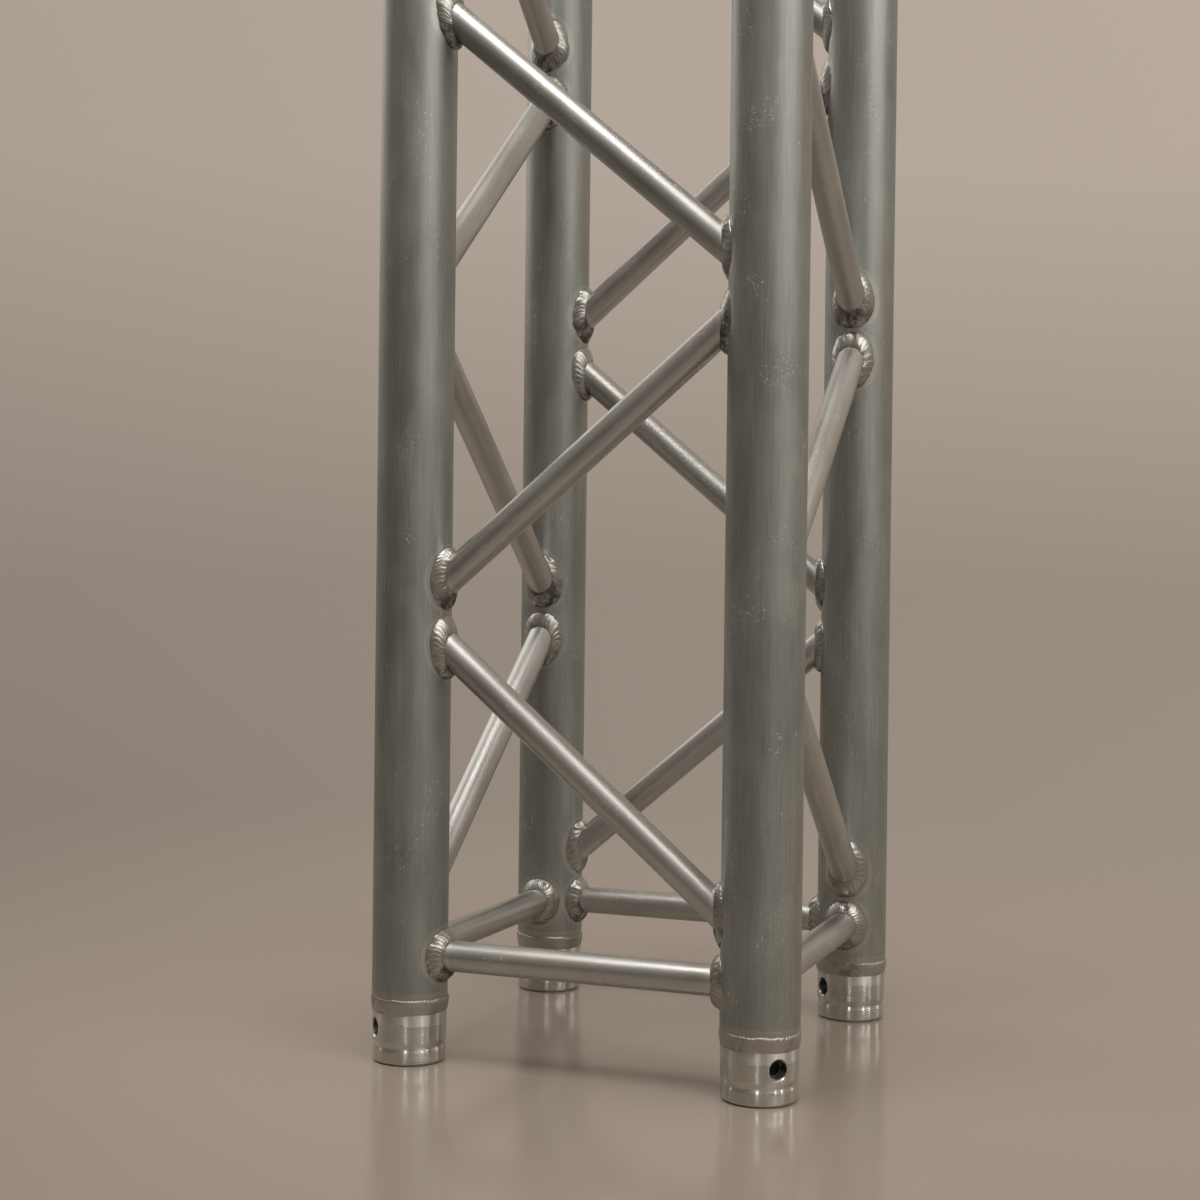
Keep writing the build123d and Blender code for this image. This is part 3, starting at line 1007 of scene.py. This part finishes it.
def surroundings(tree, direction):
    """The backdrop's colour in a direction: pale nearly all round, dim to the left of the front,
    and darker towards the floor."""
    facing = node(tree, "VectorMath", {0: direction, 1: bright_way}, operation="DOT_PRODUCT")
    facing = facing.outputs["Value"]
    height = node(tree, "SeparateXYZ", {0: direction}).outputs["Z"]
    pale = mix_colour(tree, remap(tree, height, 0.0, horizon_top, 0, 1), horizon_colour, backdrop_colour)
    share = remap(tree, facing, dim_limit, bright_limit, 0, 1)
    share = math_node(tree, "POWER", share, dim_narrowing)
    return mix_colour(tree, share, dim_side_colour, pale)


def make_floor():
    """A pale floor that fades into the backdrop far from the object, seen directly or mirrored."""
    mesh = bpy.data.meshes.new("floor")
    size = floor_half_size
    corners = [(-size, -size, 0), (size, -size, 0), (size, size, 0), (-size, size, 0)]
    mesh.from_pydata(corners, [], [(0, 1, 2, 3)])
    material = bpy.data.materials.new("floor")
    material.use_nodes = True
    tree = material.node_tree
    shader = tree.nodes["Principled BSDF"]
    shader.inputs["Base Color"].default_value = floor_colour
    shader.inputs["Roughness"].default_value = floor_roughness
    place = node(tree, "TexCoord").outputs["Object"]
    away = node(tree, "VectorMath", {0: place}, operation="LENGTH").outputs["Value"]
    fade = remap(tree, away, floor_fade_start, floor_fade_end, 0, 1)
    direction = node(tree, "VectorMath", {0: place}, operation="NORMALIZE").outputs["Vector"]
    seen = node(tree, "LightPath")
    direct = math_node(tree, "MAXIMUM", seen.outputs["Is Camera Ray"], seen.outputs["Is Glossy Ray"])
    direct = math_node(tree, "MAXIMUM", direct, seen.outputs["Is Transmission Ray"])
    fade = math_node(tree, "MULTIPLY", fade, direct)
    glow = node(tree, "Emission", {"Color": surroundings(tree, direction), "Strength": 1.0})
    mixed = node(tree, "MixShader", {0: fade, 1: shader.outputs[0], 2: glow.outputs[0]})
    connect(tree, tree.nodes["Material Output"].inputs["Surface"], mixed.outputs[0])
    mesh.materials.append(material)
    floor = bpy.data.objects.new("floor", mesh)
    bpy.context.scene.collection.objects.link(floor)
    floor.location.z = cad_low.z


def make_world():
    """A plain backdrop, the same for every kind of ray."""
    world = bpy.data.worlds.new("studio")
    bpy.context.scene.world = world
    world.use_nodes = True
    tree = world.node_tree
    backdrop = tree.nodes["Background"]
    direction = node(tree, "TexCoord").outputs["Generated"]
    connect(tree, backdrop.inputs["Color"], surroundings(tree, direction))


def make_lamp(name, azimuth, distance, height, size, power):
    """A soft rectangular lamp that faces the object. azimuth is in degrees, 0 is the front."""
    data = bpy.data.lights.new(name, "AREA")
    data.shape = "RECTANGLE"
    data.size, data.size_y = size
    data.energy = power
    data.color = lamp_colour
    lamp = bpy.data.objects.new(name, data)
    bpy.context.scene.collection.objects.link(lamp)
    angle = math.radians(azimuth)
    lamp.location = (distance * math.sin(angle), -distance * math.cos(angle), height)
    middle = Vector((0, 0, section_length / 2))
    lamp.rotation_euler = (middle - lamp.location).to_track_quat("-Z", "Y").to_euler()
    return lamp


def make_lights():
    """Soft lamps on everything, and strip lamps on the bottom receivers."""
    for name, (azimuth, distance, height, size, power) in soft_lamps.items():
        make_lamp(name, azimuth, distance, height, size, power)
    receivers = bpy.data.collections.new("receivers")
    for piece in bpy.data.objects:
        if piece.name.startswith("turned_receiver_bottom_"):
            receivers.objects.link(piece)
    for number, (azimuth, width, power) in enumerate(strip_lamps):
        size = (width, strip_length)
        strip = make_lamp(f"strip_{number + 1}", azimuth, strip_distance, strip_height, size, power)
        strip.light_linking.receiver_collection = receivers


def make_camera():
    """The camera: low, and a little to the right of the front."""
    data = bpy.data.cameras.new("camera")
    data.lens = camera_lens
    data.sensor_width = camera_sensor
    camera = bpy.data.objects.new("camera", data)
    bpy.context.scene.collection.objects.link(camera)
    place = Matrix.Translation((
        camera_distance * math.sin(camera_azimuth),
        -camera_distance * math.cos(camera_azimuth),
        camera_height,
    ))
    turn = Matrix.Rotation(camera_azimuth + camera_turn, 4, "Z")
    tilt = Matrix.Rotation(math.pi / 2 + camera_tilt, 4, "X")
    roll = Matrix.Rotation(camera_roll, 4, "Z")
    camera.matrix_world = place @ turn @ tilt @ roll
    bpy.context.scene.camera = camera


# ---------------------------------------------------------------- scene

chord_material = extruded_aluminium()
brace_material = drawn_aluminium()
receiver_material = turned_aluminium()
fillet_material = weld_aluminium("fillet_weld", fillet_hollow_shade, fillet_ridge_highlight, fillet_roughness)
girth_material = weld_aluminium("girth_weld", girth_hollow_shade, girth_ridge_highlight, girth_roughness)

for corner_name in corner_names:
    make_chord(corner_name, chord_material)
    for end_name in end_names:
        make_receiver(end_name, corner_name, receiver_material)
        make_girth_weld(end_name, corner_name, girth_material)
for brace_number, each in enumerate(braces()):
    make_brace(brace_number, each, brace_material)
for fillet_number, each in enumerate(brace_ends()):
    make_fillet(fillet_number, each, fillet_material)

make_floor()
make_world()
make_lights()
make_camera()
bpy.context.scene.view_settings.view_transform = "Standard"
